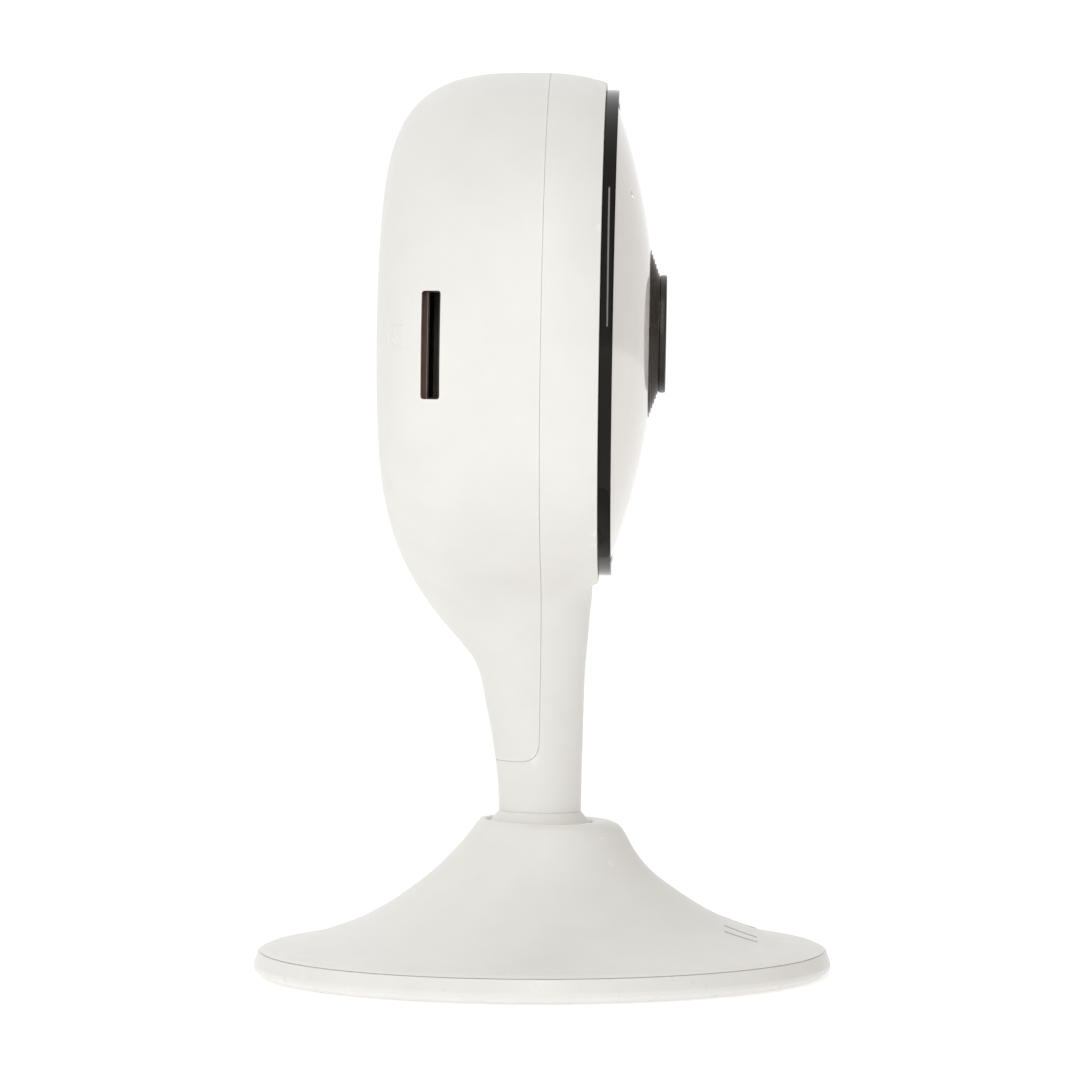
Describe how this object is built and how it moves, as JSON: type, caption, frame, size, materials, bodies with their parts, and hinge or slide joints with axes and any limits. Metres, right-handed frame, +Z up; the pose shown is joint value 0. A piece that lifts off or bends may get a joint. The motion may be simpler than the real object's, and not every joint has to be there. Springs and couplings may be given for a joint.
{
  "type": "indoor security camera",
  "caption": "Small indoor security camera: round head on a slim neck, nodding on a ball in a bell-shaped stand that turns on a round weighted foot.",
  "frame": {"origin": "centre of the foot's underside", "axes": "+Z up; the lens looks along -Y; the memory card slot is on the -X side"},
  "size_m": [0.064, 0.064, 0.0998],
  "materials": {
    "casing_white": "satin moulded, warm white",
    "inner_white": "natural moulded",
    "gloss_black": "polished black",
    "lens_black": "ribbed, dark smoky",
    "lens_glass": "coated optical glass",
    "board_green": "solder mask",
    "chip_black": "moulded package",
    "steel": "bright zinc plated",
    "aluminium": "blank",
    "ribbon_amber": "polyimide film",
    "lead_black": "soft sleeve",
    "lamp_dark": "dark clear lens",
    "light_guide": "clear moulded",
    "pad_grey": "matt non-slip"
  },
  "bodies": {
    "foot": {"base_plate": "inner_white", "rim_band": "casing_white", "steel_ballast": "steel", "foot_pad": "pad_grey", "swivel_washer": "steel", "swivel_screw": "steel"},
    "stand": {"base_shell": "casing_white", "lower_ball_seat": "inner_white", "friction_spring": "steel", "ball_clamp_ring": "steel", "swivel_bridge": "inner_white", "clamp_screw_1": "steel", "clamp_screw_2": "steel", "clamp_screw_3": "steel", "bridge_screw_1": "steel", "bridge_screw_2": "steel", "bridge_screw_3": "steel"},
    "head": {"front_housing": "casing_white", "rear_cover": "casing_white", "face_dome": "casing_white", "tilt_ball": "casing_white", "trim_ring": "gloss_black", "lens_surround": "lens_black", "lens_front_ring": "lens_black", "lens_barrel": "lens_black", "lens_mount": "lens_black", "front_lens": "lens_glass", "rear_lens": "lens_glass", "image_sensor": "chip_black", "processor": "chip_black", "reset_switch": "chip_black", "speaker": "chip_black", "sensor_board": "board_green", "main_board": "board_green", "power_board": "board_green", "infrared_lamp_board": "board_green", "sensor_ribbon": "ribbon_amber", "wifi_antenna": "ribbon_amber", "power_harness": "lead_black", "speaker_gasket": "lead_black", "heat_spreader": "aluminium", "card_socket": "steel", "power_inlet": "steel", "microphone": "steel", "status_light_guide": "light_guide", "neck_washer": "steel", "neck_screw": "steel", "infrared_lamp_1": "lamp_dark", "housing_screw_1": "steel", "infrared_lamp_2": "lamp_dark", "housing_screw_2": "steel", "infrared_lamp_3": "lamp_dark", "housing_screw_3": "steel", "infrared_lamp_4": "lamp_dark", "housing_screw_4": "steel"},
    "reset_button": {"reset_button": "casing_white"}
  },
  "joints": [
    {"name": "pan", "type": "hinge", "parent": "foot", "child": "stand", "pos_m": [0, 0, 0.0035], "axis": [0, 0, 1], "continuous": true},
    {"name": "tilt", "type": "hinge", "parent": "stand", "child": "head", "pos_m": [0, 0, 0.0136], "axis": [-1, 0, 0], "range_deg": [-8, 16]},
    {"name": "reset_press", "type": "slide", "parent": "head", "child": "reset_button", "axis": [0, -0.9998, -0.0175], "range_m": [0, 0.0006], "stiffness_N_per_m": 300, "springref_m": -0.0006}
  ]
}
